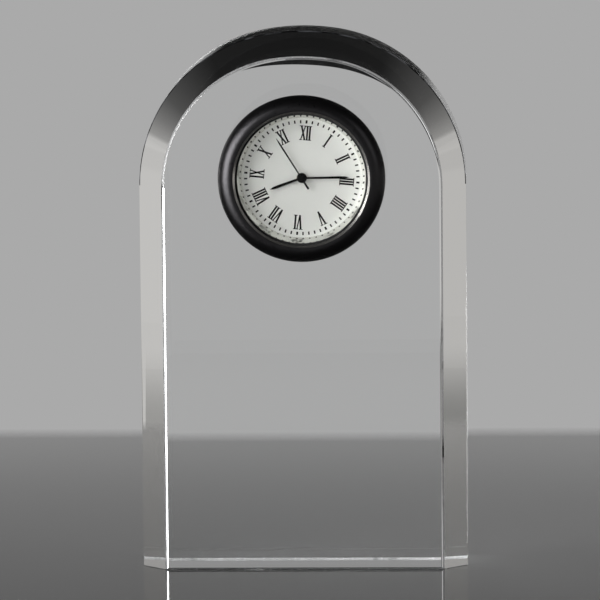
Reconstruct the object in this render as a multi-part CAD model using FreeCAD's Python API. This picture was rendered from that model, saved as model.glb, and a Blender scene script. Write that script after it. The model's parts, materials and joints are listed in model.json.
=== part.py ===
import FreeCAD, Part
import math
import os

# Arched desk clock: an upright block of clear optical crystal with a push-in quartz clock near its top.
# Lengths are in millimetres. +Z is up, the dial faces -Y, and the origin is the centre of the block's base.

V = FreeCAD.Vector
BACKWARD = V(0, 1, 0)
SIDEWAYS = V(1, 0, 0)

# Crystal block
block_width = 72.0
block_height = 119.0
block_thickness = 19.0
shoulder_radius = 33.8
crown_radius = 48.0
face_bevel = 5.5
face_arris = 0.25
rim_arris = 0.2
back_arris = 0.3
bore_lead = 0.3
bore_end_gap = 1.0

# Insert clock, and how it stands in the block
insert_drop = 32.0
insert_turn = 5.3
bore_slip = 0.1
rib_slip = 0.05
fit_gap = 0.05
pivot_gap = 0.04

# Bezel and lens, out from the opening
opening_radius = 14.6
opening_chamfer = 0.35
crest_width = 0.45
bezel_flange = 1.6
bezel_rise = 2.6
bezel_edge = 0.5
bezel_neck = 1.2
neck_wall = 0.8
lens_recess = 0.4
lens_lip = 0.4
lens_thickness = 0.8
gasket_wall = 0.3
gasket_flange = 0.2
gasket_lip = 0.45

# Case
cup_wall = 0.5
cup_seat = 0.1
back_thickness = 0.6
back_skirt = 0.9
back_skirt_wall = 0.5
back_recess = 0.15
back_recess_radius = 12.0
pry_width = 3.0
pry_depth = 0.3
pry_reach = 0.6
back_gasket_wall = 0.25
friction_wall = 0.45
friction_length = 5.4
rib_count = 20
rib_width = 1.3

# Dial and dial ring
ring_rise = 2.9
ring_cone = 1.35
dial_gap = 0.6
dial_thickness = 0.4
dial_hole_gap = 0.15

# Movement frame
plate_radius = 13.4
plate_thickness = 0.8
plate_rim = 0.8
bridge_thickness = 0.4
bridge_half_width = 1.05
pillar_radius = 0.9
screw_radius = 0.35
screw_head_radius = 0.75
screw_head = 0.3
screw_bite = 1.0
screw_slot = 0.2
screw_slot_depth = 0.15
peg_half_width = 0.3
peg_head = 0.1

# Gear train: modules, thicknesses and the gaps between its layers
train_module = 0.14
motor_module = 0.2
hour_module = 0.1344
wheel_thickness = 0.2
pinion_overhang = 0.1
pivot_radius = 0.16
pivot_length = 0.35
end_shake = 0.05
plate_gap = 0.1
layer_gap = 0.15
third_gap = 0.3
bridge_gap = 0.2

# Teeth of each wheel and leaves of each pinion
rotor_leaves = 6
intermediate_teeth = 36
intermediate_leaves = 8
second_teeth = 40
second_leaves = 8
third_teeth = 60
third_leaves = 8
centre_teeth = 64
cannon_leaves = 12
minute_teeth = 36
minute_leaves = 10
hour_teeth = 40

# Tooth outline: height above and below the pitch circle in modules, half widths in pitches
addendum_share = 0.95
dedendum_share = 1.25
wheel_half_shares = (0.3, 0.1)
leaf_half_shares = (0.25, 0.08)

# Angles of the train's mates, in degrees anticlockwise from 3 o'clock
third_angle = 135.0
intermediate_angle = 270.0
rotor_angle = 215.0
minute_angle = 0.0

# Coaxial centre: second arbor inside the minute tube inside the hour tube
second_arbor_radius = 0.25
tube_wall = 0.25
tube_stand = 0.05
hour_hub_wall = 0.2
minute_hub_wall = 0.4
second_hub_wall = 0.35

# Hands: heights above the dial, lengths and widths
hand_thickness = 0.15
hour_hand_height = 0.4
minute_hand_height = 0.8
second_hand_height = 1.2
hour_hand_length = 7.45
hour_hand_width = 0.5
minute_hand_length = 10.45
minute_hand_width = 0.4
second_hand_length = 10.5
second_hand_width = 0.26
second_tail_length = 2.8
second_tail_width = 0.36
second_cap = 0.2
hand_root_share = 0.75
hand_shoulder_share = 0.9

# Time shown, in degrees clockwise from 12 o'clock on the dial
hour_hand_angle = 244.9
minute_hand_angle = 83.9
second_hand_angle = 322.7

# Motion work, between dial and plate
motion_gap = 0.2
hour_wheel_thickness = 0.3
cannon_thickness = 0.35
minute_stud_radius = 0.25

# Stepping motor
magnet_radius = 0.7
rotor_gap = 0.15
stator_gap = 0.1
stator_thickness = 0.6
stator_half_width = 0.9
stator_ring_wall = 0.85
stator_left = 5.3
stator_right = 7.05
core_thickness = 0.6
core_half_width = 0.6
coil_drop = 3.3
lug_width = 1.6
coil_reach = 4.0
coil_half_height = 1.15
coil_half_width = 1.5
flange_thickness = 0.25
flange_margin = 0.15
bobbin_wall = 0.15
coil_clearance = 0.1
post_half_width = 0.7

# Circuit board and what it carries
board_margin = 1.0
board_width = 5.0
board_start_angle = -68.0
board_end_angle = -12.0
board_lift = 1.8
board_thickness = 0.2
board_post_half_width = 0.6
can_radius = 0.75
can_length = 4.6
can_orbit = 9.6
can_angle = -40.0
chip_side = 1.3
chip_thickness = 0.6
chip_orbit = 11.25
chip_angle = -40.0

# Button cell and its contacts
cell_radius = 3.4
cell_thickness = 2.6
cell_room = 0.6
cell_cap_radius = 2.6
cell_cap_step = 0.25
cell_edge = 0.2
cell_orbit = 8.8
cell_angle = 60.0
contact_thickness = 0.3
contact_radius = 1.5
contact_half_width = 0.6
clip_thickness = 0.15
clip_height = 2.3
clip_foot = 0.85
clip_foot_thickness = 0.2
clip_ahead_angle = 90.0
clip_sweep_angle = 110.0

# Setting stem, its lever and the crown at 3 o'clock
stem_radius = 0.45
stem_lift = 0.7
stem_start = 5.3
stem_groove_start = 7.2
stem_groove_radius = 0.3
stem_groove_width = 0.5
setting_leaves = 8
setting_pinion_length = 1.3
setting_module = 0.1
bearing_start = 8.5
bearing_length = 1.5
bearing_half_width = 1.2
bearing_cap = 0.35
crown_sink = 1.4
crown_length = 1.6
crown_tip_radius = 1.55
crown_flutes = 18
crown_flute_depth = 0.12
crown_chamfer = 0.25
crown_socket = 1.1
crown_pull = 0.45
crown_room = 0.25
lever_start = 6.4
lever_end = 8.0
lever_below = 0.9
lever_above = 3.4
lever_thickness = 0.2
lever_gap = 0.1
tine_length = 0.9
tine_width = 0.4
tine_height = 0.42
lever_stud_radius = 0.3
lever_stud_out = 7.45
lever_stud_up = 2.6

# Pillars, posts and contact peg: distance from the centre, and angle from 3 o'clock or from the cell
left_pillar_orbit = 9.0
left_pillar_angle = 187.7
right_pillar_orbit = 6.2
right_pillar_angle = -24.9
top_pillar_orbit = 9.65
top_pillar_ahead_angle = 36.0
upper_post_orbit = 11.3
upper_post_angle = -19.5
lower_post_orbit = 11.3
lower_post_angle = -59.0
contact_peg_orbit = 10.75
contact_peg_behind_angle = 41.6

# One overrun serves every cut, and angles are in degrees
overrun = 0.5
full_turn = 360.0
half_turn = full_turn / 2

# The insert hangs from the top of the block
insert_height = block_height - insert_drop

# The cell carries its neighbours round with it
top_pillar_angle = cell_angle + top_pillar_ahead_angle
contact_peg_angle = cell_angle - contact_peg_behind_angle
clip_start_angle = cell_angle + clip_ahead_angle
clip_end_angle = clip_start_angle + clip_sweep_angle

# Radii that follow, outward from the opening
gasket_window = opening_radius - gasket_lip
dial_sight_radius = gasket_window - ring_cone
crest_radius = opening_radius + crest_width
lens_radius = opening_radius + lens_lip
lens_seat = lens_radius + gasket_wall
cup_inside = lens_seat + cup_seat
cup_radius = cup_inside + cup_wall
neck_radius = cup_radius + neck_wall
bore_radius = neck_radius + bore_slip
bezel_radius = bore_radius + bezel_flange
dial_radius = cup_inside - dial_gap
board_outer_radius = plate_radius - board_margin
board_inner_radius = board_outer_radius - board_width
crown_start = cup_radius - crown_sink
minute_tube_inside = second_arbor_radius + fit_gap
minute_tube_radius = minute_tube_inside + tube_wall
hour_tube_inside = minute_tube_radius + fit_gap
hour_tube_radius = hour_tube_inside + tube_wall
dial_hole = hour_tube_radius + dial_hole_gap

# Lifts off the plate that follow, layer by layer
centre_lift = plate_gap
intermediate_lift = centre_lift + wheel_thickness + layer_gap
stator_lift = intermediate_lift + wheel_thickness + stator_gap
second_lift = stator_lift + stator_thickness + layer_gap
third_lift = second_lift - third_gap - wheel_thickness
train_space = second_lift + wheel_thickness + pinion_overhang + bridge_gap
lever_lift = stem_lift + stem_radius + lever_gap
hour_wheel_lift = plate_gap + cannon_thickness + fit_gap
motion_space = hour_wheel_lift + hour_wheel_thickness + motion_gap

# Depths behind the block's front face
bezel_front = -bezel_rise
lens_front = bezel_front + lens_recess
lens_back = lens_front + lens_thickness
ring_front = lens_back + gasket_flange
dial_front = ring_front + ring_rise
dial_back = dial_front + dial_thickness
plate_front = dial_back + motion_space
plate_back = plate_front + plate_thickness
bridge_front = plate_back + train_space
bridge_back = bridge_front + bridge_thickness
cell_front = plate_back + contact_thickness
cup_back = cell_front + cell_thickness + cell_room
bore_depth = cup_back + back_thickness + bore_end_gap
board_front = plate_back + board_lift
board_back = board_front + board_thickness
stem_depth = plate_back + stem_lift
stator_front = plate_back + stator_lift
stator_back = stator_front + stator_thickness
core_front = stator_front - core_thickness
core_depth = core_front + core_thickness / 2

# Centre distances that follow from the teeth
third_distance = train_module * (second_leaves + third_teeth) / 2
centre_module = 2 * third_distance / (third_leaves + centre_teeth)
intermediate_distance = motor_module * (second_teeth + intermediate_leaves) / 2
rotor_distance = train_module * (intermediate_teeth + rotor_leaves) / 2
minute_distance = train_module * (cannon_leaves + minute_teeth) / 2


def around(distance, degrees, start=(0, 0)):
    """The point at a distance and a direction from another, across the dial."""
    turn = math.radians(degrees)
    return (start[0] + distance * math.cos(turn), start[1] + distance * math.sin(turn))


# Places across the dial
centre = (0, 0)
third_place = around(third_distance, third_angle)
intermediate_place = around(intermediate_distance, intermediate_angle)
rotor_place = around(rotor_distance, rotor_angle, intermediate_place)
minute_place = around(minute_distance, minute_angle)
cell_place = around(cell_orbit, cell_angle)
left_pillar = around(left_pillar_orbit, left_pillar_angle)
right_pillar = around(right_pillar_orbit, right_pillar_angle)
top_pillar = around(top_pillar_orbit, top_pillar_angle)
pillars = [left_pillar, right_pillar, top_pillar]
board_posts = [
    around(upper_post_orbit, upper_post_angle),
    around(lower_post_orbit, lower_post_angle),
]
contact_peg = around(contact_peg_orbit, contact_peg_angle)

# The coil lies below the motor, and its two lugs meet the stator's ends
coil_level = rotor_place[1] - coil_drop
left_lug = rotor_place[0] - stator_left + lug_width / 2
right_lug = rotor_place[0] + stator_right - lug_width / 2
coil_middle = (left_lug + right_lug) / 2
coil_posts = [(left_lug, rotor_place[1]), (right_lug, rotor_place[1])]


def disc(radius, front, back, place=(0, 0)):
    """A round plate or rod that runs backward."""
    return Part.makeCylinder(radius, back - front, V(place[0], front, place[1]), BACKWARD)


def ring(inner, outer, front, back, place=(0, 0)):
    """A round plate or tube with a hole."""
    body = disc(outer, front, back, place)
    return body.cut(disc(inner, front - overrun, back + overrun, place))


def box(left, right, low, high, front, back):
    """A block between two places across, two up and two depths."""
    return Part.makeBox(right - left, back - front, high - low, V(left, front, low))


def post(half_width, front, back, place):
    """A square moulded post or peg, or the hole for one."""
    x, z = place
    return box(x - half_width, x + half_width, z - half_width, z + half_width, front, back)


def prism(points, front, back):
    """A plate whose outline is a closed row of points across the dial."""
    corners = [V(x, front, z) for x, z in points]
    outline = Part.makePolygon(corners + [corners[0]])
    return Part.Face(outline).extrude(V(0, back - front, 0))


def capsule(start, end, half_width, front, back):
    """A flat bar with round ends."""
    along = V(end[0] - start[0], 0, end[1] - start[1]).normalize()
    side = V(-along.z, 0, along.x) * half_width
    first = V(start[0], front, start[1])
    last = V(end[0], front, end[1])
    tip = along * half_width
    edges = [
        Part.LineSegment(first + side, last + side).toShape(),
        Part.Arc(last + side, last + tip, last - side).toShape(),
        Part.LineSegment(last - side, first - side).toShape(),
        Part.Arc(first - side, first - tip, first + side).toShape(),
    ]
    return Part.Face(Part.Wire(edges)).extrude(V(0, back - front, 0))


def turned(profile):
    """A ring turned from a closed profile of radii and depths."""
    corners = [V(radius, depth, 0) for radius, depth in profile]
    outline = Part.makePolygon(corners + [corners[0]])
    return Part.Face(outline).revolve(V(0, 0, 0), BACKWARD, full_turn)


def joined(first, *others):
    """Pieces that are one solid."""
    return first.multiFuse(list(others)).removeSplitter()


def tooth_outline(teeth, module, half_shares, first_tooth):
    """The outline of a wheel or pinion: root and tip of each tooth."""
    pitch_radius = teeth * module / 2
    radii = (pitch_radius - dedendum_share * module, pitch_radius + addendum_share * module)
    pitch = full_turn / teeth
    points = []
    for number in range(teeth):
        middle = first_tooth + number * pitch
        for radius, share in zip(radii, half_shares):
            points.append(around(radius, middle - share * pitch))
        for radius, share in zip(reversed(radii), reversed(half_shares)):
            points.append(around(radius, middle + share * pitch))
    return points


def wheel(teeth, module, front, thickness, first_tooth):
    """A toothed wheel about the centre."""
    outline = tooth_outline(teeth, module, wheel_half_shares, first_tooth)
    return prism(outline, front, front + thickness)


def pinion(leaves, module, front, length, first_tooth):
    """A small toothed pinion about the centre."""
    outline = tooth_outline(leaves, module, leaf_half_shares, first_tooth)
    return prism(outline, front, front + length)


def gap_at(angle, teeth):
    """The angle of a tooth that leaves a gap where the mate's tooth points."""
    return angle + half_turn / teeth


def arbor():
    """A straight steel arbor whose ends run in plate and bridge."""
    return disc(pivot_radius, plate_back - pivot_length, bridge_front + pivot_length)


def moved(shape, place):
    """A copy of a shape carried across the dial."""
    copy = shape.copy()
    copy.translate(V(place[0], 0, place[1]))
    return copy


def arch(inset, depth, foot):
    """The block's outline: foot, straight sides, two shoulders and a flatter crown."""
    half = block_width / 2
    shoulder_out = half - shoulder_radius
    centre_rise = math.sqrt((crown_radius - shoulder_radius) ** 2 - shoulder_out ** 2)
    spring = block_height - crown_radius + centre_rise
    crown_centre = block_height - crown_radius
    meet = math.atan2(centre_rise, shoulder_out)
    shoulder = shoulder_radius - inset
    middle = meet / 2
    foot_right = V(half - inset, depth, foot)
    foot_left = V(inset - half, depth, foot)
    side_right = V(half - inset, depth, spring)
    side_left = V(inset - half, depth, spring)
    over = shoulder_out + shoulder * math.cos(middle)
    up = spring + shoulder * math.sin(middle)
    join_over = shoulder_out + shoulder * math.cos(meet)
    join_up = spring + shoulder * math.sin(meet)
    top = V(0, depth, crown_centre + crown_radius - inset)
    return Part.Wire([
        Part.LineSegment(foot_left, foot_right).toShape(),
        Part.LineSegment(foot_right, side_right).toShape(),
        Part.Arc(side_right, V(over, depth, up), V(join_over, depth, join_up)).toShape(),
        Part.Arc(V(join_over, depth, join_up), top, V(-join_over, depth, join_up)).toShape(),
        Part.Arc(V(-join_over, depth, join_up), V(-over, depth, up), side_left).toShape(),
        Part.LineSegment(side_left, foot_left).toShape(),
    ])


def crystal_block():
    """The cut and polished block: wide front bevel, fine arrises, and a blind bore for the insert."""
    face = -block_thickness / 2
    back = block_thickness / 2
    sections = [
        arch(face_bevel + face_arris, face, face_arris),
        arch(face_bevel - face_arris, face + face_arris, 0),
        arch(rim_arris, face + face_bevel - rim_arris, 0),
        arch(0, face + face_bevel + rim_arris, 0),
        arch(0, back - back_arris, 0),
        arch(back_arris, back, back_arris),
    ]
    block = Part.makeLoft(sections, True, True)
    bore = Part.makeCylinder(bore_radius, bore_depth + overrun, V(0, face - overrun, insert_height), BACKWARD)
    lead = Part.makeCone(
        bore_radius + bore_lead, bore_radius, bore_lead, V(0, face, insert_height), BACKWARD
    )
    return block.cut(bore).cut(lead)


def bezel():
    """The convex bezel ring: a polished band, a chamfer into the opening, and a neck in the bore."""
    crest = V(crest_radius, bezel_front, 0)
    brow = V(bezel_radius, -bezel_edge, 0)
    bulge = V((crest_radius + bezel_radius) / 2 + bezel_edge, bezel_front + bezel_edge, 0)
    corners = [
        brow,
        V(bezel_radius, 0, 0),
        V(neck_radius, 0, 0),
        V(neck_radius, bezel_neck, 0),
        V(cup_radius, bezel_neck, 0),
        V(cup_radius, ring_front, 0),
        V(lens_seat, ring_front, 0),
        V(lens_seat, lens_front, 0),
        V(opening_radius, lens_front, 0),
        V(opening_radius, bezel_front + opening_chamfer, 0),
        crest,
    ]
    edges = [Part.LineSegment(a, b).toShape() for a, b in zip(corners, corners[1:])]
    edges.append(Part.Arc(crest, bulge, brow).toShape())
    return Part.Face(Part.Wire(edges)).revolve(V(0, 0, 0), BACKWARD, full_turn)


def lens_gasket():
    """The black L-shaped gasket round and behind the lens."""
    return turned([
        (lens_radius, lens_front),
        (lens_seat, lens_front),
        (lens_seat, ring_front),
        (gasket_window, ring_front),
        (gasket_window, lens_back),
        (lens_radius, lens_back),
    ])


def dial_ring():
    """The polished cone between lens and dial."""
    return turned([
        (gasket_window, ring_front),
        (cup_inside, ring_front),
        (cup_inside, dial_front),
        (dial_sight_radius, dial_front),
    ])


def crown_window(start, margin):
    """The space that the crown needs in case and holder."""
    reach = crown_tip_radius + crown_room
    far = bore_radius + overrun
    return box(start, far, -reach, reach, stem_depth - reach + margin, stem_depth + reach)


def case_cup():
    """The steel case tube, rebated at its rear edge for the back gasket, with a window for the crown."""
    rebate = cup_inside + back_gasket_wall
    cup = turned([
        (cup_inside, ring_front),
        (cup_radius, ring_front),
        (cup_radius, cup_back),
        (rebate, cup_back),
        (rebate, cup_back - back_gasket_wall),
        (cup_inside, cup_back - back_gasket_wall),
    ])
    return cup.cut(crown_window(crown_start - crown_room, 0))


def friction_ring():
    """The ribbed plastic band that grips the bore, open at the crown."""
    back = bezel_neck + friction_length
    wall = cup_radius + friction_wall
    crest = bore_radius - rib_slip
    band = ring(cup_radius, wall, bezel_neck, back)
    ribs = []
    for number in range(rib_count):
        rib = prism(
            [
                (wall - friction_wall / 2, -rib_width / 2),
                (crest - friction_wall / 2, -rib_width / 2),
                (crest, -rib_width / 4),
                (crest, rib_width / 4),
                (crest - friction_wall / 2, rib_width / 2),
                (wall - friction_wall / 2, rib_width / 2),
            ],
            bezel_neck,
            back,
        )
        rib.rotate(V(0, 0, 0), BACKWARD, (number + 1 / 2) * full_turn / rib_count)
        ribs.append(rib)
    reach = crown_tip_radius + crown_room
    slot = box(0, bore_radius + overrun, -reach, reach, bezel_neck - overrun, back + overrun)
    return band.multiFuse(ribs).cut(slot).removeSplitter()


def case_back():
    """The snap-on back: a thin disc with a skirt inside the cup and a notch to pry it off."""
    rear = cup_back + back_thickness
    skirt = cup_inside - fit_gap
    back = turned([
        (0, cup_back),
        (skirt - back_skirt_wall, cup_back),
        (skirt - back_skirt_wall, cup_back - back_skirt),
        (skirt, cup_back - back_skirt),
        (skirt, cup_back),
        (cup_radius, cup_back),
        (cup_radius, rear),
        (back_recess_radius, rear),
        (back_recess_radius, rear - back_recess),
        (0, rear - back_recess),
    ])
    notch = box(
        -pry_width / 2, pry_width / 2, -cup_radius - overrun, pry_reach - cup_radius,
        cup_back - overrun, cup_back + pry_depth,
    )
    return back.cut(notch)


def movement_holder():
    """The plastic ring that centres the movement in the case."""
    holder = ring(plate_radius, cup_inside, dial_back, bridge_back)
    holder = holder.cut(crown_window(crown_start - crown_room, 0))
    half = stem_radius + crown_room
    slot = box(0, cup_inside, -half, half, stem_depth - half, bridge_back + overrun)
    return holder.cut(slot)


def pivot_hole(front, back, place):
    """A bearing hole for an arbor's pivot."""
    return disc(pivot_radius + pivot_gap, front - overrun, back + overrun, place)


def coil_bounds(margin):
    """The space of the coil: left, right, low and high."""
    left = coil_middle - coil_reach - flange_thickness - margin
    right = coil_middle + coil_reach + flange_thickness + margin
    half = coil_half_width + flange_margin + margin
    return left, right, coil_level - half, coil_level + half


def main_plate():
    """The front plate: a disc with a rim for the dial, pillars, posts, studs and bearing holes."""
    plate = disc(plate_radius, plate_front, plate_back)
    rim = ring(plate_radius - plate_rim, plate_radius, dial_back, plate_front)
    pieces = [rim]
    pieces += [disc(pillar_radius, plate_front, bridge_front, place) for place in pillars]
    pieces += [post(board_post_half_width, plate_front, board_front, place) for place in board_posts]
    pieces += [post(peg_half_width, plate_front, board_back + peg_head, place) for place in board_posts]
    pieces += [post(post_half_width, plate_front, core_front, place) for place in coil_posts]
    pieces += [post(peg_half_width, plate_front, stator_back + peg_head, place) for place in coil_posts]
    pieces.append(post(peg_half_width, plate_front, cell_front + peg_head, contact_peg))
    pieces.append(disc(minute_stud_radius, dial_back + fit_gap, plate_back, minute_place))
    lever_stud = (lever_stud_out, lever_stud_up)
    stud_back = plate_back + lever_lift + 2 * lever_thickness
    pieces.append(disc(lever_stud_radius, plate_front, stud_back, lever_stud))
    bearing_back = stem_depth + stem_radius + bearing_cap
    pieces.append(box(
        bearing_start, bearing_start + bearing_length, -bearing_half_width, bearing_half_width,
        plate_front, bearing_back,
    ))
    plate = joined(plate, *pieces)
    stem_hole = Part.makeCylinder(
        stem_radius + fit_gap, bearing_length + 2 * overrun,
        V(bearing_start - overrun, stem_depth, 0), SIDEWAYS,
    )
    cuts = [stem_hole, disc(minute_tube_radius + fit_gap, plate_front - overrun, plate_back + overrun)]
    cuts += [
        pivot_hole(plate_front, plate_back, place)
        for place in (third_place, intermediate_place, rotor_place)
    ]
    cuts += [
        disc(screw_radius, bridge_front - screw_bite, bridge_front + overrun, place) for place in pillars
    ]
    left, right, low, high = coil_bounds(coil_clearance)
    cuts.append(box(left, right, low, high, plate_front - overrun, plate_back + overrun))
    return plate.cut(Part.makeCompound(cuts))


def train_bridge():
    """The skeleton bridge that carries the back pivots."""
    bars = [
        (left_pillar, third_place),
        (third_place, top_pillar),
        (third_place, centre),
        (centre, right_pillar),
        (centre, intermediate_place),
        (intermediate_place, rotor_place),
    ]
    shapes = [capsule(a, b, bridge_half_width, bridge_front, bridge_back) for a, b in bars]
    bridge = joined(*shapes)
    pivots = (centre, third_place, intermediate_place, rotor_place)
    cuts = [pivot_hole(bridge_front, bridge_back, place) for place in pivots]
    cuts += [
        disc(screw_radius, bridge_front - overrun, bridge_back + overrun, place) for place in pillars
    ]
    return bridge.cut(Part.makeCompound(cuts))


def screw(place, seat, bite):
    """A slotted cheese-head screw whose head stands on a seat."""
    head_back = seat + screw_head
    body = joined(disc(screw_radius, seat - bite, seat), disc(screw_head_radius, seat, head_back))
    slot = box(
        -screw_head_radius - overrun, screw_head_radius + overrun, -screw_slot / 2, screw_slot / 2,
        head_back - screw_slot_depth, head_back + overrun,
    )
    return moved(body.cut(slot), place)


def bridge_screws():
    """The three screws of the bridge, as separate solids."""
    return Part.makeCompound([screw(place, bridge_back, bridge_thickness + screw_bite) for place in pillars])


def hour_wheel():
    """The hour wheel and its tube."""
    front = plate_front - hour_wheel_lift - hour_wheel_thickness
    back = front + hour_wheel_thickness
    gear = wheel(hour_teeth, hour_module, front, hour_wheel_thickness, minute_angle)
    tip = dial_front - hour_hand_height - hand_thickness - tube_stand
    body = joined(gear, disc(hour_tube_radius, tip, back))
    return body.cut(disc(hour_tube_inside, tip - overrun, back + overrun))


def minute_wheel():
    """The minute wheel of the motion work, on its stud, with the pinion that drives the hour wheel."""
    back = plate_front - plate_gap - end_shake
    thickness = cannon_thickness - 2 * end_shake
    front = back - thickness
    lead = plate_front - hour_wheel_lift - hour_wheel_thickness - tube_stand
    gear = wheel(
        minute_teeth, train_module, front, thickness,
        gap_at(minute_angle + half_turn, minute_teeth),
    )
    leaves = pinion(
        minute_leaves, hour_module, lead, front + thickness / 2 - lead,
        gap_at(minute_angle + half_turn, minute_leaves),
    )
    body = joined(gear, leaves)
    body = body.cut(disc(minute_stud_radius + pivot_gap, lead - overrun, back + overrun))
    return moved(body, minute_place)


def cannon_pinion():
    """The minute tube with the cannon pinion; the second arbor turns inside it."""
    tip = dial_front - minute_hand_height - hand_thickness - tube_stand
    back = plate_back + centre_lift + wheel_thickness + tube_stand
    lead = plate_front - plate_gap - cannon_thickness
    leaves = pinion(cannon_leaves, train_module, lead, cannon_thickness, minute_angle)
    body = joined(disc(minute_tube_radius, tip, back), leaves)
    return body.cut(disc(minute_tube_inside, tip - overrun, back + overrun))


def centre_wheel():
    """The centre wheel, a friction fit on the minute tube."""
    front = plate_back + centre_lift
    first_tooth = gap_at(third_angle, centre_teeth)
    gear = wheel(centre_teeth, centre_module, front, wheel_thickness, first_tooth)
    return gear.cut(disc(minute_tube_radius, front - overrun, front + wheel_thickness + overrun))


def third_wheel():
    """The third wheel on its arbor, with the pinion that drives the centre wheel."""
    front = plate_back + third_lift
    first_tooth = gap_at(third_angle + half_turn, third_teeth)
    gear = wheel(third_teeth, train_module, front, wheel_thickness, first_tooth)
    lead = plate_back + centre_lift - end_shake
    leaves = pinion(
        third_leaves, centre_module, lead, wheel_thickness + pinion_overhang, third_angle + half_turn
    )
    return moved(joined(arbor(), gear, leaves), third_place)


def second_wheel():
    """The second wheel: its long arbor carries the second hand through the minute tube."""
    front = plate_back + second_lift
    gear = wheel(second_teeth, motor_module, front, wheel_thickness, intermediate_angle)
    lead = plate_back + third_lift - pinion_overhang
    leaves = pinion(
        second_leaves, train_module, lead, wheel_thickness + 2 * pinion_overhang, third_angle
    )
    back = bridge_front - end_shake
    tip = dial_front - second_hand_height - hand_thickness - tube_stand
    rod = disc(second_arbor_radius, tip, back)
    pivot = disc(pivot_radius, back - overrun, back + pivot_length)
    return joined(rod, pivot, gear, leaves)


def intermediate_wheel():
    """The intermediate wheel between rotor and second wheel."""
    front = plate_back + intermediate_lift
    gear = wheel(intermediate_teeth, train_module, front, wheel_thickness, rotor_angle)
    lead = plate_back + second_lift - pinion_overhang
    leaves = pinion(
        intermediate_leaves, motor_module, lead, wheel_thickness + 2 * pinion_overhang,
        gap_at(intermediate_angle + half_turn, intermediate_leaves),
    )
    return moved(joined(arbor(), gear, leaves), intermediate_place)


def rotor_pinion():
    """The rotor's pinion and arbor."""
    lead = plate_back + intermediate_lift - end_shake
    length = wheel_thickness + 2 * end_shake
    leaves = pinion(
        rotor_leaves, train_module, lead, length, gap_at(rotor_angle + half_turn, rotor_leaves)
    )
    return moved(joined(arbor(), leaves), rotor_place)


def rotor_magnet():
    """The permanent magnet pressed on the rotor's arbor."""
    return ring(pivot_radius, magnet_radius, stator_front, stator_back, rotor_place)


def stator():
    """The flat soft-iron stator round the rotor magnet."""
    x, z = rotor_place
    hole_radius = magnet_radius + rotor_gap
    bar = box(
        x - stator_left, x + stator_right, z - stator_half_width, z + stator_half_width,
        stator_front, stator_back,
    )
    plate = joined(bar, disc(hole_radius + stator_ring_wall, stator_front, stator_back, rotor_place))
    cuts = [disc(hole_radius, stator_front - overrun, stator_back + overrun, rotor_place)]
    cuts += [post(peg_half_width, stator_front - overrun, stator_back + overrun, p) for p in coil_posts]
    return plate.cut(Part.makeCompound(cuts))


def coil_core():
    """The flat iron core: a bar through the coil, with a lug up to each end of the stator."""
    top = rotor_place[1] + stator_half_width
    low = coil_level - core_half_width
    bar = box(left_lug, right_lug, low, coil_level + core_half_width, core_front, stator_front)
    lugs = [
        box(x - lug_width / 2, x + lug_width / 2, low, top, core_front, stator_front)
        for x in (left_lug, right_lug)
    ]
    holes = [
        post(peg_half_width, core_front - overrun, stator_front + overrun, place) for place in coil_posts
    ]
    return joined(bar, *lugs).cut(Part.makeCompound(holes))


def coil_section(left, right, half_width, half_height, corner):
    """A bar of rounded rectangular section along the coil."""
    body = box(
        left, right, coil_level - half_width, coil_level + half_width,
        core_depth - half_height, core_depth + half_height,
    )
    long_edges = [
        edge for edge in body.Edges
        if abs(edge.tangentAt(edge.FirstParameter).x) > 1 / 2
    ]
    return body.makeFillet(corner, long_edges)


def coil_bobbin():
    """The plastic bobbin: a sleeve on the core and a flange at each end."""
    left = coil_middle - coil_reach
    right = coil_middle + coil_reach
    sleeve_half_width = core_half_width + bobbin_wall
    sleeve_half_height = core_thickness / 2 + bobbin_wall
    sleeve = coil_section(left, right, sleeve_half_width, sleeve_half_height, bobbin_wall)
    half_width = coil_half_width + flange_margin
    half_height = coil_half_height + flange_margin
    flanges = [
        box(
            start, start + flange_thickness, coil_level - half_width, coil_level + half_width,
            core_depth - half_height, core_depth + half_height,
        )
        for start in (left - flange_thickness, right)
    ]
    core = box(
        left_lug, right_lug, coil_level - core_half_width, coil_level + core_half_width,
        core_front, stator_front,
    )
    return joined(sleeve, *flanges).cut(core)


def coil_winding():
    """The copper winding between the bobbin's flanges."""
    left = coil_middle - coil_reach
    right = coil_middle + coil_reach
    winding = coil_section(left, right, coil_half_width, coil_half_height, coil_half_height / 2)
    sleeve = coil_section(
        left, right, core_half_width + bobbin_wall, core_thickness / 2 + bobbin_wall, bobbin_wall
    )
    return winding.cut(sleeve)


def sector(inner, outer, front, back, start, end):
    """Part of a ring between two directions."""
    turns = (start, (start + end) / 2, end)
    outer_points = [V(x, front, z) for x, z in (around(outer, turn) for turn in turns)]
    inner_points = [V(x, front, z) for x, z in (around(inner, turn) for turn in reversed(turns))]
    outline = Part.Wire([
        Part.Arc(*outer_points).toShape(),
        Part.LineSegment(outer_points[2], inner_points[0]).toShape(),
        Part.Arc(*inner_points).toShape(),
        Part.LineSegment(inner_points[2], outer_points[0]).toShape(),
    ])
    return Part.Face(outline).extrude(V(0, back - front, 0))


def circuit_board():
    """The board: a sector of a ring beside the train."""
    board = sector(
        board_inner_radius, board_outer_radius, board_front, board_back, board_start_angle, board_end_angle
    )
    holes = [post(peg_half_width, board_front - overrun, board_back + overrun, p) for p in board_posts]
    return board.cut(Part.makeCompound(holes))


def quartz_crystal():
    """The quartz crystal's can, lying under the board."""
    x, z = around(can_orbit, can_angle)
    depth = board_front - can_radius
    turn = math.radians(can_angle)
    along = V(-math.sin(turn), 0, math.cos(turn))
    start = V(x, depth, z) - along * (can_length / 2)
    return Part.makeCylinder(can_radius, can_length, start, along)


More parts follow.
